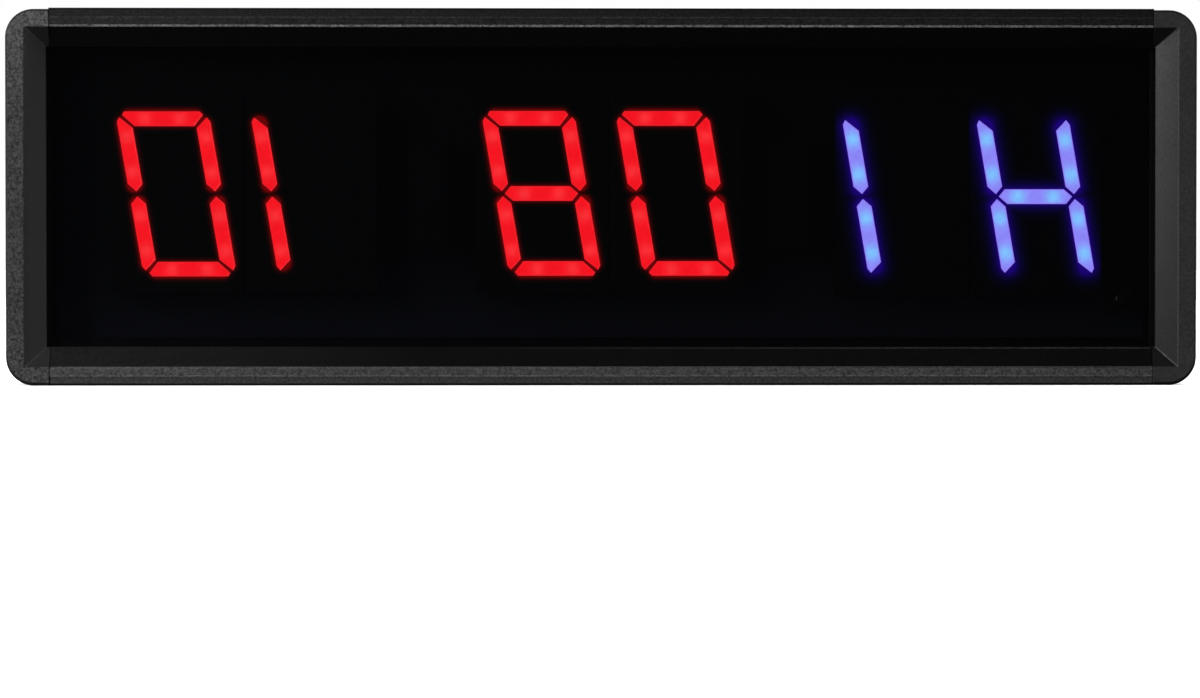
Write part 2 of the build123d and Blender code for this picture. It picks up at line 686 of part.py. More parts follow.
def save_buzzer():
    """The round buzzer, with its sound opening towards the back plate."""
    top = BOARD_BACK + BUZZER_HEIGHT
    radius, depth = BUZZER_PORT
    buzzer = rod_y(BUZZER_X, BUZZER_Z, BOARD_BACK, top, BUZZER_RADIUS)
    buzzer = fillet(buzzer.edges().sort_by(Axis.Y)[-1], BUZZER_ROUND)
    buzzer -= rod_y(BUZZER_X, BUZZER_Z, top - depth, top + 1, radius)
    save("buzzer", buzzer)


def save_backup_cell():
    """The coin cell that keeps the clock's time, and its holder."""
    seat = BOARD_BACK + CELL_SEAT
    top = seat + CELL_HEIGHT + HOLDER_LIP
    ring = CELL_RADIUS + HOLDER_WALL
    holder = rod_y(CELL_X, CELL_Z, BOARD_BACK, top, ring)
    holder -= rod_y(CELL_X, CELL_Z, seat, top + 1, CELL_RADIUS + 2 * GROOVE_PLAY)
    holder -= block(CELL_X - HOLDER_GAP / 2, CELL_X + HOLDER_GAP / 2, seat, top + 1,
                    CELL_Z, CELL_Z + ring + 1)
    save("backup_cell_holder", holder)
    cell = rod_y(CELL_X, CELL_Z, seat, seat + CELL_HEIGHT, CELL_RADIUS)
    save("backup_cell", fillet(cell.edges().sort_by(Axis.Y)[-1], CELL_ROUND))


def wire(side):
    """One lead from the header on the board to the power inlet; side is 1 or -1."""
    rise = side * WIRE_SPACING / 2
    start = (HEADER_X - HEADER_SIZE[0] / 2, WIRE_DEPTH, HEADER_Z + rise)
    end = (INLET_X + INLET_RADIUS - INLET_GRIP, WIRE_DEPTH, INLET_Z + rise)
    path = FilletPolyline(
        start,
        (start[0] - WIRE_STUB[0] - rise, WIRE_DEPTH, start[2]),
        (end[0] + WIRE_STUB[1] - rise, WIRE_DEPTH, end[2]),
        end,
        radius=WIRE_BEND,
    )
    section = Plane(origin=start, z_dir=(-1, 0, 0)) * Circle(WIRE_RADIUS)
    return sweep(section, path=path)


def save_power():
    """The header, the two leads and the panel inlet."""
    wide, deep, high = HEADER_SIZE
    save("power_header", on_back(HEADER_X, HEADER_Z, wide, high, deep))
    save("power_wire_positive", wire(1))
    save("power_wire_negative", wire(-1))
    body = rod_y(INLET_X, INLET_Z, INLET_FRONT, PLATE_BACK, INLET_RADIUS)
    body += rod_y(INLET_X, INLET_Z, PLATE_BACK, INLET_OUT, INLET_FLANGE)
    body = fillet(body.edges().sort_by(Axis.Y)[-1], INLET_ROUND)
    body -= rod_y(INLET_X, INLET_Z, INLET_FLOOR, INLET_OUT + 1, INLET_BORE)
    save("power_inlet_body", body)
    pin = rod_y(INLET_X, INLET_Z, INLET_FLOOR, INLET_OUT - INLET_PIN_SUNK, INLET_PIN)
    save("power_inlet_pin", fillet(pin.edges().sort_by(Axis.Y)[-1], INLET_PIN_ROUND))
    nut_front = PLATE_FRONT - INLET_NUT_HEIGHT
    hexagon = Plane.XZ.offset(-nut_front) * Pos(INLET_X, INLET_Z) * RegularPolygon(
        INLET_NUT_SIDE, 6, major_radius=False)
    nut = extrude(hexagon, INLET_NUT_HEIGHT, dir=(0, 1, 0))
    nut -= rod_y(INLET_X, INLET_Z, nut_front - 1, PLATE_FRONT + 1, INLET_RADIUS + INLET_NUT_PLAY)
    save("power_inlet_nut", nut)


def save_case():
    """Frame, lens, back plate, brackets and the fasteners of the case."""
    bottom_rail = rail()
    save("bottom_rail", bottom_rail)
    save("top_rail", upside_down(bottom_rail))
    cap = end_cap()
    save("right_end_cap", cap)
    save("left_end_cap", other_end(cap))
    screws = cap_screws()
    save("right_cap_screws", *screws)
    save("left_cap_screws", *[other_end(screw) for screw in screws])
    save("front_lens", front_lens())
    save("back_plate", back_plate())
    right_bracket = bracket()
    save("right_bracket", right_bracket)
    save("left_bracket", other_end(right_bracket))
    screw = bracket_screw()
    save("bracket_screws", screw, other_end(screw))


os.makedirs("parts", exist_ok=True)
save_case()
save("display_board", display_board())
save_digits()
save_colons()
save_electronics()
save_power()
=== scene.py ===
from math import radians

import bmesh
import bpy
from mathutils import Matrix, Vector


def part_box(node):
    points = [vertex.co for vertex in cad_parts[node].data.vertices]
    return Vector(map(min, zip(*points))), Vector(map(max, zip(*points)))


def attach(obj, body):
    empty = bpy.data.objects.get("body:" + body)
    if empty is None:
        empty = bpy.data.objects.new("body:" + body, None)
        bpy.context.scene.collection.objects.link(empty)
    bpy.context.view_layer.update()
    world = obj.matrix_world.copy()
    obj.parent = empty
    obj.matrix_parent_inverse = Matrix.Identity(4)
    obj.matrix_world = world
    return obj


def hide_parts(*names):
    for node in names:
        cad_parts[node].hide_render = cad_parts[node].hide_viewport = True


# Looks of the gym round timer. Everything is in metres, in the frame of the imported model: +X is
# right, +Y is back, +Z is up, and the underside of the case is at z = 0. Shader patterns are laid
# out in millimetres, so the constants marked mm are in millimetres.
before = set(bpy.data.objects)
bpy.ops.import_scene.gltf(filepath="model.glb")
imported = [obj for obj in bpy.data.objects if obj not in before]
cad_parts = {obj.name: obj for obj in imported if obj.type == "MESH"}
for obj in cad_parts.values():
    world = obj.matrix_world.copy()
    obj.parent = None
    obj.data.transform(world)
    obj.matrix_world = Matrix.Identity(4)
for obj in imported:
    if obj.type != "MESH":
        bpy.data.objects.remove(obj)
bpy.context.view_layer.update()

MM = 0.001
CAP_LOW, CAP_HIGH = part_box("right_end_cap")
FRONT_Y = CAP_LOW.y
CASE_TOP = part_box("top_rail")[1].z
RAIL_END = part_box("top_rail")[1].x

# Rails. Heights are measured inwards from a rail's outer face.
DARK_EDGE = 0.48  # mm, the rounded outer edge, painted dark as a painted reflection of the dark room
RAIL_STEP = 2.05  # mm, where the set-back outer half of the front band ends
RAIL_STEP_WIDTH = 0.25  # mm, painted highlight line along that step
RAIL_BAND = 4.3  # mm, where the front band ends in a bead
RAIL_BEAD_WIDTH = 0.42  # mm, width of the bead's painted highlight
LENS_LINE = 8.4  # mm, painted highlight line low on the slope, beside the lens
LENS_LINE_WIDTH = 0.25  # mm
LENS_LINE_RISE = (-40.0, 90.0)  # mm along X, over which that line comes up
SLOPE_FADE_END = -40.0  # mm along X, where the slope's painted light from the left has faded to its even tone
CAP_GAP = 0.3  # mm, the dark end of a rail, beside a cap
CAP_GAP_SHADE = 0.15

# End caps
CAP_CORNER = 6.5  # mm, radius of the outer corners
CAP_BAND = 4.2  # mm, flat front face around the recess
RECESS_SIDE = 5.0  # mm, width of the recess's slope at its left and right sides
RECESS_END = 4.7  # mm, width of its slope at the top and the bottom
RECESS_DEPTH = (-9.0, -8.0)  # mm along Y, between which the slopes end
LEAST_SHEEN_HEIGHT = 35.0  # mm up a cap, where the face's painted sheen is weakest
PLAIN_CAP = 0.024  # albedo of the sides and the back
PLAIN_GRAIN = 0.3  # strength of the grain there
EDGE_SHARE = 0.05  # the tone of the edge painted dark as painted shade, as a share of the face's
SHEEN_DIP = 0.4  # how much of a face's painted sheen its weakest height loses

# Lens and lit digits
LENS_ALPHA = 0.46
THROUGH_LENS = (1 - LENS_ALPHA) ** 2  # share of the light that passes both faces of the lens
SPOT_OFFSET = 4.1  # mm, from the middle of a segment to each of its two dies
SPOT_EDGE = 0.35  # strength of a die's spot at the edge of its size
RIM = 0.45 * MM  # paler rim around the face of a lit segment
FACE_DIP = 0.12 * MM  # the cast face sinks a little inside its rim
RED_DIGITS = (1, 2, 3, 4)
BLUE_DIGITS = (5, 6)

# Circuit board
FLOOR_REFLECTION_RANGE = (8.0, 34.0)  # mm up, over which the bluish painted reflection of the floor fades

# Stage and camera
STAGE_RADIUS = 8.0
FLOOR_DROP = 0.02 * MM
CAMERA_PLACE = Vector((-0.020, FRONT_Y - 1.0, 0.030))
CAMERA_AIM = Vector((-0.0006, FRONT_Y, 0.0084))
CAMERA_LENS = 130.0

# Tones of the frame. They are albedos, except as marked. They hold painted light and shade: the top
# rail is painted darker than the bottom rail, the halves of a band and the slopes are painted by how
# light falls, the tones fade from the left as painted light, and beads, steps and lens lines are
# painted highlights.
TOP_RAIL = {
    "inner": 0.014,  # inner half of the front band
    "outer": 0.012,  # outer half
    "step": 0.022,
    "back": 0.014,
    "left_slope": 0.002,
    "slope": 0.002,
    "left_bead_highlight": 0.22,
    "right_bead_highlight": 0.42,
    "lens_line_highlight": 0.002,
    "grain": 0.8,  # strength of the grain
    "left": 1.1,  # share of the tones at the left end, as painted light from the left
    "right": 0.65,  # and at the right end, as painted shade away from that light
}
BOTTOM_RAIL = {
    "inner": 0.055,
    "outer": 0.036,
    "step": 0.18,
    "back": 0.014,
    "left_slope": 0.007,
    "slope": 0.0015,
    "left_bead_highlight": 0.05,
    "right_bead_highlight": 0.02,
    "lens_line_highlight": 0.02,
    "grain": 0.7,
    "left": 1.0,
    "right": 1.0,
}
# The left cap's tones are painted lit and the right cap's painted shaded, as if lit from the left.
LEFT_CAP = {
    "face": 0.043,
    "low_slope": 0.047,  # side slope of the recess, at its foot, in painted light and shade
    "high_slope": 0.047,  # and at its top
    "inner_gain": 1.05,  # how much paler that slope is painted deep in the recess, as painted light
    "smooth_slope": 0.7,  # share of the grain that the slopes lack
    # painted shade on the recess's top and bottom slopes
    "end_slope": 0.011,
    # painted highlights along the mitre and lip lines
    "edges": 0.055,
    "grain": 1.0,  # strength of the grain of the face
    "painted_sheen": 0.8,  # painted sheen: how much brighter the face's ends are painted than its middle
}
RIGHT_CAP = {
    "face": 0.029,
    "low_slope": 0.001,
    "high_slope": 0.026,
    "inner_gain": 2.0,
    "smooth_slope": 0.0,
    "end_slope": 0.004,
    "edges": 0.08,
    "grain": 0.35,
    "painted_sheen": 0.0,
}

# Light of the digits: colours as seen through the lens. The spill colours are a glow painted on the
# black shells beside the strokes.
RED = {
    "body": (0.90, 0.004, 0.011),
    "spot": (0.965, 0.026, 0.034),
    "rim": (0.80, 0.015, 0.028),
    "spot_size": (1.5, 1.7),  # mm, along and across the segment
    "painted_spill": (0.14, 0.0, 0.0),
    "painted_spill_reach": 0.27,  # mm, over which the painted glow beside a segment falls to 1 / e
}
BLUE = {
    "body": (0.26, 0.23, 0.94),
    "spot": (0.205, 0.53, 1.0),
    "rim": (0.31, 0.19, 0.93),
    "spot_size": (1.9, 2.0),
    "painted_spill": (0.010, 0.0, 0.17),
    "painted_spill_reach": 0.8,
}


# --- shader helpers -------------------------------------------------------------------------


def new_material(name):
    """A material with one Principled surface."""
    made = bpy.data.materials.new(name)
    made.use_nodes = True
    tree = made.node_tree
    tree.nodes.clear()
    output = tree.nodes.new("ShaderNodeOutputMaterial")
    surface = tree.nodes.new("ShaderNodeBsdfPrincipled")
    tree.links.new(surface.outputs[0], output.inputs["Surface"])
    return made, tree, surface


def feed(tree, socket, value):
    """Links an output to the socket, or sets the socket's own value."""
    if isinstance(value, bpy.types.NodeSocket):
        tree.links.new(value, socket)
    elif value is not None:
        socket.default_value = value


def maths(tree, operation, a, b=None, c=None, clamp=False):
    """Arithmetic on numbers."""
    node = tree.nodes.new("ShaderNodeMath")
    node.operation = operation
    node.use_clamp = clamp
    for socket, value in zip(node.inputs, (a, b, c)):
        feed(tree, socket, value)
    return node.outputs[0]


def vectors(tree, operation, a, b=None, scale=None):
    """Arithmetic on vectors and colours."""
    node = tree.nodes.new("ShaderNodeVectorMath")
    node.operation = operation
    feed(tree, node.inputs[0], a)
    feed(tree, node.inputs[1], b)
    feed(tree, node.inputs[3], scale)
    scalar = operation in ("DOT_PRODUCT", "DISTANCE")
    return node.outputs["Value" if scalar else "Vector"]


def place_mm(tree):
    """The place on the object, in millimetres."""
    coordinates = tree.nodes.new("ShaderNodeTexCoord")
    return vectors(tree, "SCALE", coordinates.outputs["Object"], scale=1 / MM)


def parts_of(tree, vector):
    """The x, y and z of a vector."""
    node = tree.nodes.new("ShaderNodeSeparateXYZ")
    feed(tree, node.inputs[0], vector)
    return node.outputs


def noise(tree, where, size, detail=2.0, roughness=0.5, stretch=(1, 1, 1)):
    """Cloudy noise from 0 to 1 with blotches of about size millimetres, stretched along the axes."""
    node = tree.nodes.new("ShaderNodeTexNoise")
    node.inputs["Scale"].default_value = 1 / size
    node.inputs["Detail"].default_value = detail
    node.inputs["Roughness"].default_value = roughness
    if stretch != (1, 1, 1):
        where = vectors(tree, "DIVIDE", where, stretch)
    feed(tree, node.inputs["Vector"], where)
    return node.outputs[0]


def cells(tree, where, size, feature="F1"):
    """Distance to the nearest of a scatter of points about size millimetres apart."""
    node = tree.nodes.new("ShaderNodeTexVoronoi")
    node.feature = feature
    node.inputs["Scale"].default_value = 1 / size
    feed(tree, node.inputs["Vector"], where)
    return node.outputs["Distance"]


def span(tree, value, low, high, to_low=0.0, to_high=1.0, smooth=False):
    """The value moved from one range to another, and held inside it."""
    node = tree.nodes.new("ShaderNodeMapRange")
    node.interpolation_type = "SMOOTHSTEP" if smooth else "LINEAR"
    for socket, number in zip(node.inputs[:5], (value, low, high, to_low, to_high)):
        feed(tree, socket, number)
    return node.outputs[0]


def mixed(tree, share, a, b):
    """Two colours mixed by share."""
    node = tree.nodes.new("ShaderNodeMix")
    node.data_type = "RGBA"
    feed(tree, node.inputs[0], share)
    for socket, colour in zip(node.inputs[6:8], (a, b)):
        feed(tree, socket, colour if isinstance(colour, bpy.types.NodeSocket) else (*colour, 1))
    return node.outputs[2]


def grey(level):
    return (level, level, level)


def product(tree, *factors):
    """All the factors multiplied."""
    total = factors[0]
    for factor in factors[1:]:
        total = maths(tree, "MULTIPLY", total, factor)
    return total


def between(tree, value, low, high, soft):
    """1 between low and high, falling to 0 over soft on each side."""
    rise = span(tree, value, low - soft, low + soft)
    fall = span(tree, value, high - soft, high + soft, 1.0, 0.0)
    return maths(tree, "MULTIPLY", rise, fall)


def mottled(tree, pattern, low, high):
    """A noise pattern's middle range as a factor from low to high."""
    return span(tree, pattern, 0.3, 0.7, low, high)


def rounded_normal(tree, radius_mm):
    """The normal, turned near edges as if they were rounded."""
    node = tree.nodes.new("ShaderNodeBevel")
    node.samples = 6
    node.inputs["Radius"].default_value = radius_mm * MM
    return node.outputs[0]


def bump(tree, height, depth_mm, strength, normal=None):
    """The normal, tilted by a pattern of small heights."""
    node = tree.nodes.new("ShaderNodeBump")
    node.inputs["Strength"].default_value = strength
    node.inputs["Distance"].default_value = depth_mm * MM
    feed(tree, node.inputs["Height"], height)
    feed(tree, node.inputs["Normal"], normal)
    return node.outputs[0]


def dress(names, material):
    """Gives CAD nodes a material in place of their plain one."""
    for name in names:
        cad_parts[name].material_slots[0].material = material


# --- frame materials ------------------------------------------------------------------------


def outline_distance(tree, x, z):
    """Millimetres inside the rounded outline of the case, seen from the front."""
    half_height = CASE_TOP / MM / 2
    right = maths(tree, "SUBTRACT", maths(tree, "ABSOLUTE", x), CAP_HIGH.x / MM - CAP_CORNER)
    up = maths(tree, "ABSOLUTE", maths(tree, "SUBTRACT", z, half_height))
    up = maths(tree, "SUBTRACT", up, CAP_HIGH.z / MM - half_height - CAP_CORNER)
    right = maths(tree, "MAXIMUM", right, 0.0)
    up = maths(tree, "MAXIMUM", up, 0.0)
    square = maths(tree, "MULTIPLY_ADD", right, right, maths(tree, "MULTIPLY", up, up))
    return maths(tree, "SUBTRACT", CAP_CORNER, maths(tree, "SQRT", square))


def recess_place(tree, x, z):
    """How far down the recess's slopes a place is, from 0 to 1, by its side and by its end."""
    side = maths(tree, "SUBTRACT", CAP_HIGH.x / MM - CAP_BAND, maths(tree, "ABSOLUTE", x))
    from_top = maths(tree, "SUBTRACT", CASE_TOP / MM, z)
    end = maths(tree, "SUBTRACT", maths(tree, "MINIMUM", z, from_top), CAP_BAND)
    return maths(tree, "DIVIDE", side, RECESS_SIDE), maths(tree, "DIVIDE", end, RECESS_END)


def on_front(tree, y):
    """1 on the front face, falling to 0 a little way back."""
    return span(tree, y, FRONT_Y / MM + 0.5, FRONT_Y / MM + 1.0, 1.0, 0.0)


def along_rail(tree, x, at_left, at_right):
    """A value that changes evenly from the left end of a rail to the right end."""
    return span(tree, x, -RAIL_END / MM, RAIL_END / MM, at_left, at_right)


def rail_level(tree, where, rise, grain, tone):
    """Albedo of a rail: the two halves of its front band, its slope, its back, and painted highlight
    lines.
    """
    x, y, _ = parts_of(tree, where)
    in_front = on_front(tree, y)
    # The halves' tones differ by painted light; the rounded edge below DARK_EDGE stays dark as
    # painted shade.
    inner_half = between(tree, rise, RAIL_STEP + 0.15, RAIL_BAND, 0.08)
    outer_half = between(tree, rise, DARK_EDGE, RAIL_STEP + 0.1, 0.1)
    # The slope is painted shade in the recess, paler at the left end as painted light from the left.
    slope = span(tree, x, -RAIL_END / MM, SLOPE_FADE_END, tone["left_slope"], tone["slope"])
    level = maths(tree, "MULTIPLY", inner_half, tone["inner"])
    level = maths(tree, "MULTIPLY_ADD", outer_half, tone["outer"], level)
    level = maths(tree, "MAXIMUM", level, slope)

    past_bead = span(tree, rise, RAIL_BAND - 0.1, RAIL_BAND + 0.1)
    recessed = maths(tree, "MULTIPLY", past_bead, span(tree, y, 0.0, 1.0, 1.0, 0.0))
    behind = mixed(tree, recessed, grey(tone["back"]), slope)
    level = mixed(tree, in_front, behind, level)

    # Painted highlight line low on the slope, beside the lens.
    lens_highlight_mask = between(tree, rise, LENS_LINE, LENS_LINE + LENS_LINE_WIDTH, 0.06)
    lens_highlight_mask = product(tree, lens_highlight_mask, span(tree, x, *LENS_LINE_RISE), recessed)
    level = mixed(tree, lens_highlight_mask, level, grey(tone["lens_line_highlight"]))

    patches = noise(tree, where, 14.0, detail=2.0, stretch=(3, 1, 1))
    # Painted highlight on the bead, broken into patches.
    bead = between(tree, rise, RAIL_BAND - RAIL_BEAD_WIDTH, RAIL_BAND + 0.05, 0.07)
    bead_highlight = product(tree, bead, span(tree, patches, 0.25, 0.7, 0.6, 1.0),
                   span(tree, grain, 0.2, 0.6, 0.6, 1.0), in_front)
    level = mixed(tree, bead_highlight, level, along_rail(tree, x, tone["left_bead_highlight"], tone["right_bead_highlight"]))

    # Painted highlight along the step.
    step = between(tree, rise, RAIL_STEP, RAIL_STEP + RAIL_STEP_WIDTH, 0.06)
    return mixed(tree, maths(tree, "MULTIPLY", step, in_front), level, grey(tone["step"]))


def rail_material(name, tone, top):
    """Black anodised extrusion: fine lines along X, a blasted grain, painted highlights on bead and
    step.
    """
    made, tree, surface = new_material(name)
    where = place_mm(tree)
    x, _, z = parts_of(tree, where)
    rise = maths(tree, "SUBTRACT", CASE_TOP / MM, z) if top else z
    lines = noise(tree, where, 0.22, detail=3.0, stretch=(90, 1, 1))
    grain = noise(tree, where, 0.55, detail=3.0, roughness=0.7)
    level = rail_level(tree, where, rise, grain, tone)

    from_middle = maths(tree, "ABSOLUTE", x)
    gap_start = RAIL_END / MM - CAP_GAP
    coarse = tone["grain"]
    # The shade holds grain, lines, the dark joint at the caps and painted light fading from left to
    # right.
    shade = product(tree, span(tree, grain, 0.32, 0.68, 1 - coarse, 1 + coarse),
                    mottled(tree, lines, 0.86, 1.1),
                    span(tree, from_middle, gap_start, gap_start + CAP_GAP / 2, 1.0, CAP_GAP_SHADE),
                    along_rail(tree, x, tone["left"], tone["right"]))
    feed(tree, surface.inputs["Base Color"], vectors(tree, "SCALE", level, scale=shade))

    rough = maths(tree, "MULTIPLY_ADD", grain, 0.14, mottled(tree, lines, 0.4, 0.52))
    feed(tree, surface.inputs["Roughness"], rough)
    surface.inputs["Specular IOR Level"].default_value = 0.15
    height = maths(tree, "MULTIPLY_ADD", lines, 0.5, grain)
    feed(tree, surface.inputs["Normal"], bump(tree, height, 0.035, 0.7, rounded_normal(tree, 0.22)))
    return made


def cap_shade(tree, where, fine, mottle, in_front, tone):
    """Grain of a cap as a factor on its albedo, with a painted sheen: brighter towards the ends of
    its face.
    """
    z = parts_of(tree, where)[2]
    cloud = noise(tree, where, 9.0, detail=2.0)
    plain = span(tree, mottle, 0.32, 0.68, 1 - PLAIN_GRAIN, 1 + PLAIN_GRAIN)
    coarse = span(tree, mottle, 0.32, 0.68, 1 - tone["grain"], 1 + tone["grain"])
    # Painted sheen: the face is painted brighter towards its top and bottom than at its middle.
    from_least_sheen = maths(tree, "SUBTRACT", z, LEAST_SHEEN_HEIGHT)
    from_least_sheen = maths(tree, "DIVIDE", from_least_sheen, CASE_TOP / MM - LEAST_SHEEN_HEIGHT)
    painted_sheen = maths(tree, "MULTIPLY", from_least_sheen, from_least_sheen)
    painted_sheen = maths(tree, "MULTIPLY_ADD", painted_sheen, tone["painted_sheen"], 1 - SHEEN_DIP * tone["painted_sheen"])
    return product(tree, mixed(tree, in_front, plain, coarse), mottled(tree, fine, 0.85, 1.15),
                   mottled(tree, cloud, 0.92, 1.08), mixed(tree, in_front, grey(1.0), painted_sheen))


def cap_material(name, tone):
    """Moulded black plastic with a spark-eroded grain, and painted shade on its rounded edges."""
    made, tree, surface = new_material(name)
    where = place_mm(tree)
    x, y, z = parts_of(tree, where)
    in_front = on_front(tree, y)
    fine = noise(tree, where, 0.28, detail=3.0, roughness=0.6)
    mottle = noise(tree, where, 0.6, detail=3.0, roughness=0.7)
    shade = cap_shade(tree, where, fine, mottle, in_front, tone)

    # Painted shade on the rounded outer edge.
    inside = outline_distance(tree, x, z)
    level = mixed(tree, span(tree, inside, DARK_EDGE - 0.1, DARK_EDGE + 0.1),
                  grey(EDGE_SHARE * tone["face"]), grey(tone["face"]))
    level = mixed(tree, in_front, grey(PLAIN_CAP), level)

    by_side, by_end = recess_place(tree, x, z)
    in_recess = product(tree, span(tree, by_side, 0.0, 0.03), span(tree, by_end, 0.0, 0.03),
                        span(tree, y, *RECESS_DEPTH, 1.0, 0.0))
    # Side slopes: painted light and shade, changing with height and paler deeper in.
    side_slope = span(tree, z, 0.0, CASE_TOP / MM, tone["low_slope"], tone["high_slope"])
    deeper = span(tree, by_side, 0.0, 1.0, 1.0, tone["inner_gain"])
    level = mixed(tree, in_recess, level, maths(tree, "MULTIPLY", side_slope, deeper))
    smooth = maths(tree, "MULTIPLY", in_recess, tone["smooth_slope"])
    shade = mixed(tree, smooth, shade, grey(1.0))

    # Top and bottom slopes of the recess: painted shade.
    past_mitre = maths(tree, "SUBTRACT", by_side, by_end)
    on_end = maths(tree, "MULTIPLY", in_recess, span(tree, past_mitre, -0.01, 0.03))
    level = mixed(tree, on_end, level, grey(tone["end_slope"]))
    # Mitre and lip lines: painted highlights, broken by the grain.
    mitre = span(tree, maths(tree, "ABSOLUTE", past_mitre), 0.02, 0.06, 1.0, 0.0)
    lip = span(tree, maths(tree, "ABSOLUTE", by_side), 0.015, 0.045, 1.0, 0.0)
    lip = maths(tree, "MULTIPLY", lip, span(tree, by_end, 0.0, 0.1))
    edges = product(tree, maths(tree, "MAXIMUM", mitre, lip), in_recess,
                    span(tree, fine, 0.3, 0.6, 0.6, 1.0))
    level = mixed(tree, edges, level, grey(tone["edges"]))
    feed(tree, surface.inputs["Base Color"], vectors(tree, "SCALE", level, scale=shade))

    feed(tree, surface.inputs["Roughness"], span(tree, fine, 0.25, 0.75, 0.5, 0.72))
    surface.inputs["Specular IOR Level"].default_value = 0.3
    pits = cells(tree, where, 0.42)
    height = maths(tree, "MULTIPLY_ADD", pits, 0.6, maths(tree, "MULTIPLY_ADD", fine, 0.8, mottle))
    feed(tree, surface.inputs["Normal"], bump(tree, height, 0.05, 0.65, rounded_normal(tree, 0.3)))
    return made


def lens_material():
    """Smoked acrylic: clear enough for what is lit behind it, with faint wiping marks."""
    made, tree, surface = new_material("smoked_acrylic")
    where = place_mm(tree)
    wiped = noise(tree, where, 18.0, detail=4.0, roughness=0.6, stretch=(2.5, 1, 1))
    dust = noise(tree, where, 0.5, detail=2.0)
    rough = span(tree, wiped, 0.4, 0.75, 0.05, 0.11)
    rough = maths(tree, "MULTIPLY_ADD", span(tree, dust, 0.72, 0.8), 0.1, rough)
    feed(tree, surface.inputs["Roughness"], rough)
    surface.inputs["Base Color"].default_value = (0.0016, 0.0018, 0.0024, 1)
    surface.inputs["Alpha"].default_value = LENS_ALPHA
    surface.inputs["Specular IOR Level"].default_value = 0.16
    surface.inputs["IOR"].default_value = 1.49
    made.surface_render_method = "BLENDED"
    return made


def sheet_material():
    """Black back plate: a fine leather-like grain on plastic sheet."""
    made, tree, surface = new_material("back_sheet_grain")
    where = place_mm(tree)
    pebble = cells(tree, where, 0.8, "SMOOTH_F1")
    fine = noise(tree, where, 0.3, detail=3.0, roughness=0.6)
    cloud = noise(tree, where, 16.0, detail=3.0)
    shade = product(tree, mottled(tree, cloud, 0.82, 1.15), span(tree, pebble, 0.1, 0.6, 0.75, 1.2))
    base = vectors(tree, "SCALE", (0.016, 0.016, 0.0175), scale=shade)
    feed(tree, surface.inputs["Base Color"], base)
    feed(tree, surface.inputs["Roughness"], span(tree, fine, 0.25, 0.75, 0.42, 0.62))
    height = maths(tree, "MULTIPLY_ADD", fine, 0.35, pebble)
    feed(tree, surface.inputs["Normal"], bump(tree, height, 0.06, 0.6, rounded_normal(tree, 0.2)))
    return made


def plated_material():
    """Bright nickel plate on rolled steel: pebbled face, scuffs, dark pores."""
    made, tree, surface = new_material("bright_plate")
    where = place_mm(tree)
    pebble = noise(tree, where, 0.75, detail=2.0, roughness=0.45)
    rolled = noise(tree, where, 1.6, detail=3.0, stretch=(1, 4, 1))
    pores = noise(tree, where, 0.35, detail=2.0)
    scuff = noise(tree, where, 0.25, detail=3.0, stretch=(12, 1, 6))
    shade = product(tree, span(tree, pores, 0.26, 0.38, 0.5, 1.0), mottled(tree, rolled, 0.8, 1.05))
    base = vectors(tree, "SCALE", (0.78, 0.775, 0.76), scale=shade)
    feed(tree, surface.inputs["Base Color"], base)
    surface.inputs["Metallic"].default_value = 0.85
    feed(tree, surface.inputs["Roughness"], span(tree, scuff, 0.35, 0.7, 0.26, 0.42))
    height = maths(tree, "MULTIPLY_ADD", scuff, 0.2, pebble)
    feed(tree, surface.inputs["Normal"], bump(tree, height, 0.08, 0.5, rounded_normal(tree, 0.35)))
    return made


def screw_material():
    """Black oxide steel, rubbed bright in patches."""
    made, tree, surface = new_material("black_oxide")
    where = place_mm(tree)
    fine = noise(tree, where, 0.4, detail=4.0, roughness=0.6)
    rubbed = span(tree, noise(tree, where, 1.3, detail=2.0), 0.6, 0.75)
    base = mixed(tree, rubbed, grey(0.018), (0.06, 0.058, 0.055))
    feed(tree, surface.inputs["Base Color"], base)
    surface.inputs["Metallic"].default_value = 0.4
    feed(tree, surface.inputs["Roughness"], mottled(tree, fine, 0.26, 0.42))
    feed(tree, surface.inputs["Normal"], bump(tree, fine, 0.02, 0.5, rounded_normal(tree, 0.18)))
    return made


def metal_material(name, colour, roughness):
    """Plated pins and small metal parts, with turning marks."""
    made, tree, surface = new_material(name)
    where = place_mm(tree)
    turned = noise(tree, where, 0.2, detail=3.0, stretch=(6, 1, 6))
    stain = noise(tree, where, 2.5, detail=3.0)
    base = mixed(tree, span(tree, stain, 0.45, 0.8, 0.0, 0.4), colour, [0.6 * c for c in colour])
    feed(tree, surface.inputs["Base Color"], base)
    surface.inputs["Metallic"].default_value = 1.0
    feed(tree, surface.inputs["Roughness"], mottled(tree, turned, roughness, roughness + 0.15))
    feed(tree, surface.inputs["Normal"], bump(tree, turned, 0.02, 0.5, rounded_normal(tree, 0.12)))
    return made


def moulded_material(name, colour, roughness, speckle=0.25):
    """Small moulded or coated parts: a matt skin with a slight mottle."""
    made, tree, surface = new_material(name)
    where = place_mm(tree)
    mottle = noise(tree, where, 0.5, detail=3.0, roughness=0.6)
    shade = mottled(tree, mottle, 1 - speckle, 1 + speckle)
    feed(tree, surface.inputs["Base Color"], vectors(tree, "SCALE", colour, scale=shade))
    feed(tree, surface.inputs["Roughness"], mottled(tree, mottle, roughness, roughness + 0.12))
    feed(tree, surface.inputs["Normal"], bump(tree, mottle, 0.03, 0.5, rounded_normal(tree, 0.12)))
    return made


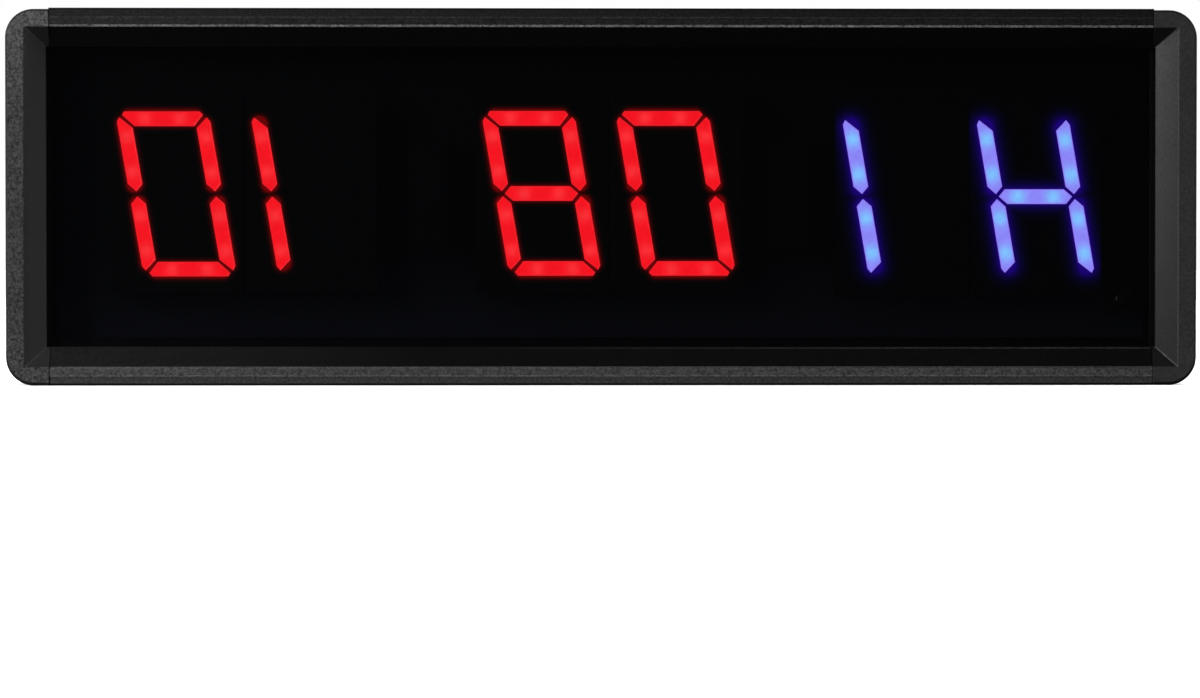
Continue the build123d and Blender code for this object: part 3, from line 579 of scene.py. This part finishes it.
def board_material():
    """Black solder mask over copper tracks, with a painted bluish reflection of the floor towards
    the bottom.
    """
    made, tree, surface = new_material("solder_mask_painted_reflection")
    where = place_mm(tree)
    tracks = tree.nodes.new("ShaderNodeTexBrick")
    feed(tree, tracks.inputs["Vector"], vectors(tree, "MULTIPLY", where, (1, 0, 1)))
    tracks.inputs["Scale"].default_value = 0.12
    tracks.inputs["Mortar Size"].default_value = 0.05
    weave = noise(tree, where, 0.4, detail=2.0)
    z = parts_of(tree, where)[2]
    # Painted reflection of the pale floor, bluish, fading upwards.
    floor_reflection = span(tree, z, *FLOOR_REFLECTION_RANGE, 1.0, 0.0, smooth=True)
    mask = mixed(tree, floor_reflection, grey(0.0025), (0.018, 0.019, 0.034))
    copper = mixed(tree, floor_reflection, grey(0.0035), (0.022, 0.023, 0.040))
    base = mixed(tree, tracks.outputs["Fac"], mask, copper)
    base = vectors(tree, "SCALE", base, scale=mottled(tree, weave, 0.85, 1.1))
    feed(tree, surface.inputs["Base Color"], base)
    feed(tree, surface.inputs["Roughness"], mottled(tree, weave, 0.35, 0.5))
    surface.inputs["Specular IOR Level"].default_value = 0.2
    feed(tree, surface.inputs["Normal"], bump(tree, tracks.outputs["Fac"], 0.03, 0.5))
    return made


# --- lit digits -----------------------------------------------------------------------------


def light_material(name, light):
    """Diffusing resin over two dies: a bright spot over each, a paler rim, a clean body colour."""
    made, tree, surface = new_material(name)
    attribute = tree.nodes.new("ShaderNodeAttribute")
    attribute.attribute_name = "segment_place"
    along, across, inside = parts_of(tree, attribute.outputs["Vector"])
    from_die = maths(tree, "SUBTRACT", maths(tree, "ABSOLUTE", along), SPOT_OFFSET)
    far = maths(tree, "DIVIDE", from_die, light["spot_size"][0])
    side = maths(tree, "DIVIDE", across, light["spot_size"][1])
    spread = maths(tree, "MULTIPLY_ADD", far, far, maths(tree, "MULTIPLY", side, side))
    spot = maths(tree, "POWER", SPOT_EDGE, spread)
    colour = mixed(tree, spot, light["body"], light["spot"])
    rim = span(tree, inside, 0.0, 1.0, 0.75, 0.0, smooth=True)
    colour = mixed(tree, rim, colour, light["rim"])
    cloudy = noise(tree, place_mm(tree), 1.1, detail=2.0)
    colour = vectors(tree, "SCALE", colour, scale=mottled(tree, cloudy, 0.94, 1.05))
    feed(tree, surface.inputs["Emission Color"], colour)
    surface.inputs["Emission Strength"].default_value = 1 / THROUGH_LENS
    surface.inputs["Base Color"].default_value = (0.03, 0.03, 0.03, 1)
    surface.inputs["Roughness"].default_value = 0.35
    return made


def segment_faces(node):
    """A copy of a node's mesh with whole faces, and its faces that look to the front."""
    mesh = bmesh.new()
    mesh.from_mesh(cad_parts[node].data)
    bmesh.ops.remove_doubles(mesh, verts=mesh.verts, dist=0.001 * MM)
    bmesh.ops.dissolve_limit(mesh, angle_limit=radians(1), verts=mesh.verts, edges=mesh.edges)
    return mesh, [face for face in mesh.faces if face.normal.y < -0.99]


def direction_of(face):
    """The direction of the longest side, which runs along the stroke."""
    longest = max(face.edges, key=lambda edge: edge.calc_length())
    first, second = longest.verts
    return (second.co - first.co).normalized()


def lit_segments(digit, material):
    """Puts diffusers in the place of a digit's lit segments. Each has a dipped face inside a rim,
    and its own coordinates in segment_place: mm along, mm across, and 1 inside the rim.
    Returns each stroke's middle, direction, half length and half width."""
    node = f"digit_{digit}_lit_segments"
    mesh, faces = segment_faces(node)
    layer = mesh.verts.layers.float_vector.new("segment_place")
    strokes = []
    for face in faces:
        middle = face.calc_center_median_weighted()
        along = direction_of(face)
        across = along.cross(Vector((0, 1, 0)))
        outline = list(face.verts)
        bmesh.ops.inset_individual(mesh, faces=[face], thickness=RIM, depth=-FACE_DIP)
        inner = list(face.verts)
        for vert in outline + inner:
            offset = (vert.co - middle) / MM
            vert[layer] = (offset.dot(along), offset.dot(across), 1.0 if vert in inner else 0.0)
        reach = max(abs((vert.co - middle).dot(along)) for vert in outline)
        half_stroke = max(abs((vert.co - middle).dot(across)) for vert in outline)
        strokes.append((middle, along, reach, half_stroke))
    data = bpy.data.meshes.new(f"digit_{digit}_diffusers")
    mesh.to_mesh(data)
    mesh.free()
    data.materials.append(material)
    piece = link_object(f"digit_{digit}_diffusers", data)
    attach(piece, "case")
    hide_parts(node)
    return strokes


def distance_to_stroke(tree, where, start, end):
    """Distance in millimetres from a place to a straight stroke between two points."""
    run = end - start
    relative = vectors(tree, "SUBTRACT", where, tuple(start))
    share = vectors(tree, "DOT_PRODUCT", relative, tuple(run / run.length_squared))
    share = maths(tree, "MULTIPLY", share, 1.0, clamp=True)
    nearest = vectors(tree, "SCALE", tuple(run), scale=share)
    return vectors(tree, "DISTANCE", relative, nearest)


def shell_material(name, light, strokes):
    """Black reflector shell; spill light from the lit strokes, if any, is painted on its face as a
    glow.
    """
    made, tree, surface = new_material(name)
    where = place_mm(tree)
    grain = noise(tree, where, 0.35, detail=3.0, roughness=0.6)
    base = mixed(tree, span(tree, grain, 0.3, 0.7), grey(0.002), grey(0.004))
    feed(tree, surface.inputs["Base Color"], base)
    feed(tree, surface.inputs["Roughness"], mottled(tree, grain, 0.6, 0.8))
    surface.inputs["Specular IOR Level"].default_value = 0.1
    feed(tree, surface.inputs["Normal"], bump(tree, grain, 0.03, 0.5))
    if not strokes:
        return made
    # Painted glow of spill light, fading with distance from the lit strokes.
    nearest = None
    for middle, along, reach, half_stroke in strokes:
        run = along * (reach - half_stroke)
        gap = distance_to_stroke(tree, where, (middle - run) / MM, (middle + run) / MM)
        gap = maths(tree, "SUBTRACT", gap, half_stroke / MM)
        nearest = gap if nearest is None else maths(tree, "MINIMUM", nearest, gap)
    nearest = maths(tree, "MAXIMUM", nearest, 0.0)
    painted_spill = maths(tree, "EXPONENT", maths(tree, "DIVIDE", nearest, -light["painted_spill_reach"]))
    painted_spill = maths(tree, "MULTIPLY", painted_spill, mottled(tree, grain, 0.85, 1.1))
    feed(tree, surface.inputs["Emission Color"], mixed(tree, painted_spill, grey(0.0), light["painted_spill"]))
    surface.inputs["Emission Strength"].default_value = 1 / THROUGH_LENS
    return made


def light_digits():
    """Lights every digit, and gives its shell and its unlit segments a painted glow of spill light
    beside the strokes.
    """
    red = light_material("lit_red_resin", RED)
    blue = light_material("lit_blue_resin", BLUE)
    for digit in RED_DIGITS + BLUE_DIGITS:
        is_red = digit in RED_DIGITS
        light = RED if is_red else BLUE
        strokes = lit_segments(digit, red if is_red else blue)
        dark = [f"digit_{digit}_housing", f"digit_{digit}_unlit_segments"]
        dark = [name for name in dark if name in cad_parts]
        dress(dark, shell_material(f"painted_glow_shell_of_digit_{digit}", light, strokes))


# --- dressing the CAD nodes -----------------------------------------------------------------


def dress_case():
    # One anodised finish in two copies: the top rail painted shaded, the bottom rail painted lit.
    dress(["top_rail"], rail_material("black_anodised_top_painted_shade", TOP_RAIL, True))
    dress(["bottom_rail"], rail_material("black_anodised_bottom_painted_light", BOTTOM_RAIL, False))
    # The caps too: the left cap painted lit, the right painted shaded; their grain also differs.
    dress(["left_end_cap"], cap_material("coarse_cap_grain_painted_light", LEFT_CAP))
    dress(["right_end_cap"], cap_material("fine_cap_grain_painted_shade", RIGHT_CAP))
    dress(["front_lens"], lens_material())
    dress(["back_plate"], sheet_material())
    dress(["left_bracket", "right_bracket"], plated_material())
    dress(["bracket_screws", "left_cap_screws", "right_cap_screws"], screw_material())


def dress_inside():
    digits = RED_DIGITS + BLUE_DIGITS
    colons = ["colon_1_housing", "colon_2_housing", "colon_1_dots", "colon_2_dots"]
    dress(colons, shell_material("shell_of_colon", RED, []))
    phenolic = moulded_material("bare_phenolic", (0.30, 0.25, 0.12), 0.55)
    dress([f"digit_{digit}_led_board" for digit in digits], phenolic)
    dress(["red_led_chips", "blue_led_chips"], moulded_material("die_resin", (0.7, 0.62, 0.3), 0.3))
    dress(["display_board"], board_material())
    tinned = metal_material("tinned", (0.72, 0.72, 0.70), 0.3)
    dress(["module_pins", "clock_crystal", "backup_cell"], tinned)
    chip = moulded_material("moulding_compound", (0.02, 0.02, 0.021), 0.5)
    dress(["microcontroller", "driver_chips", "clock_chip", "voltage_regulator"], chip)
    dress(["resistors", "buzzer"], chip)
    nylon = moulded_material("natural_nylon", (0.62, 0.58, 0.48), 0.45, 0.08)
    dress(["backup_cell_holder", "power_header"], nylon)
    dress(["ir_receiver"], moulded_material("infrared_resin", (0.012, 0.006, 0.01), 0.2))
    dress(["capacitors"], moulded_material("shrink_sleeve", (0.02, 0.03, 0.08), 0.3))
    dress(["power_wire_positive"], moulded_material("red_pvc", (0.4, 0.012, 0.012), 0.4, 0.1))
    dress(["power_wire_negative"], moulded_material("black_pvc", (0.015, 0.015, 0.015), 0.4, 0.1))
    brass = metal_material("nickel_brass", (0.62, 0.58, 0.5), 0.25)
    dress(["power_inlet_pin", "power_inlet_nut"], brass)
    dress(["power_inlet_body"], moulded_material("inlet_shell", (0.02, 0.02, 0.02), 0.35))


# --- stage, light and camera ----------------------------------------------------------------


def link_object(name, data):
    """A new object in the scene."""
    made = bpy.data.objects.new(name, data)
    bpy.context.scene.collection.objects.link(made)
    return made


def plain_material(name, colour, glow):
    """Matt paint that glows a little, so that the white stays even."""
    made, tree, surface = new_material(name)
    shade = noise(tree, place_mm(tree), 40.0, detail=2.0)
    base = mixed(tree, shade, [0.985 * c for c in colour], colour)
    feed(tree, surface.inputs["Base Color"], base)
    surface.inputs["Roughness"].default_value = 0.9
    surface.inputs["Specular IOR Level"].default_value = 0.0
    surface.inputs["Emission Color"].default_value = (1, 1, 1, 1)
    surface.inputs["Emission Strength"].default_value = glow
    return made


def stage_object(name, mesh, material):
    """Makes a bmesh an object that neither lights the case nor shows in its reflections."""
    data = bpy.data.meshes.new(name)
    mesh.to_mesh(data)
    mesh.free()
    data.materials.append(material)
    made = link_object(name, data)
    made.visible_diffuse = False
    made.visible_glossy = False
    return made


def build_stage():
    """A pale floor and a white surround that only the camera sees."""
    disc = bmesh.new()
    bmesh.ops.create_circle(disc, cap_ends=True, radius=STAGE_RADIUS, segments=96)
    floor = stage_object("floor", disc, plain_material("floor_paint", grey(0.86), 0.3))
    floor.location.z = -FLOOR_DROP

    ball = bmesh.new()
    bmesh.ops.create_icosphere(ball, subdivisions=4, radius=STAGE_RADIUS * 0.98)
    dome = stage_object("surround", ball, plain_material("surround_paint", grey(0.0), 1.0))
    dome.visible_transmission = False
    dome.visible_shadow = False


def soft_box(name, place, size, power, glossy=True):
    """A rectangular soft light, aimed at the case, that the camera doesn't see."""
    data = bpy.data.lights.new(name, "AREA")
    data.shape = "RECTANGLE"
    data.size, data.size_y = size
    data.energy = power
    lamp = link_object(name, data)
    lamp.location = place
    aim = Vector((0, 0, CASE_TOP / 2)) - Vector(place)
    lamp.rotation_euler = aim.to_track_quat("-Z", "Y").to_euler()
    lamp.visible_camera = False
    lamp.visible_glossy = glossy


def build_light():
    """Soft boxes for the front, others for the sides and the back, and a broad light from above."""
    soft_box("left_box", (-0.75, -0.6, 0.3), (0.4, 0.6), 9.0)
    soft_box("right_box", (1.2, -0.9, 0.4), (0.5, 0.8), 1.2)
    soft_box("low_fill", (0.0, -1.3, 0.12), (1.2, 0.2), 1.5, glossy=False)
    soft_box("rear_box", (0.7, 1.3, 0.8), (0.9, 0.7), 17.0)
    soft_box("rear_low_box", (-0.5, 1.5, 0.3), (2.2, 0.6), 15.0)
    soft_box("rear_top_box", (0.0, 0.9, 1.1), (2.0, 0.6), 10.0)
    soft_box("right_side_box", (1.5, 0.4, 0.4), (0.7, 0.7), 14.0)
    soft_box("left_side_box", (-1.5, 0.4, 0.4), (0.7, 0.7), 10.0)
    sun = bpy.data.lights.new("ceiling", "SUN")
    sun.energy = 3.2
    sun.angle = radians(70)
    link_object("ceiling", sun).visible_glossy = False
    world = bpy.data.worlds.new("studio")
    world.use_nodes = True
    background = world.node_tree.nodes["Background"]
    background.inputs["Color"].default_value = (0.9, 0.95, 1.0, 1)
    background.inputs["Strength"].default_value = 0.04
    bpy.context.scene.world = world


def build_camera():
    data = bpy.data.cameras.new("camera")
    data.sensor_width = 36.0
    data.lens = CAMERA_LENS
    data.clip_start = 0.01
    data.clip_end = 50.0
    camera = link_object("camera", data)
    camera.location = CAMERA_PLACE
    camera.rotation_euler = (CAMERA_AIM - CAMERA_PLACE).to_track_quat("-Z", "Y").to_euler()
    bpy.context.scene.camera = camera
    bpy.context.scene.view_settings.view_transform = "Standard"


build_camera()
build_stage()
build_light()
dress_case()
dress_inside()
light_digits()
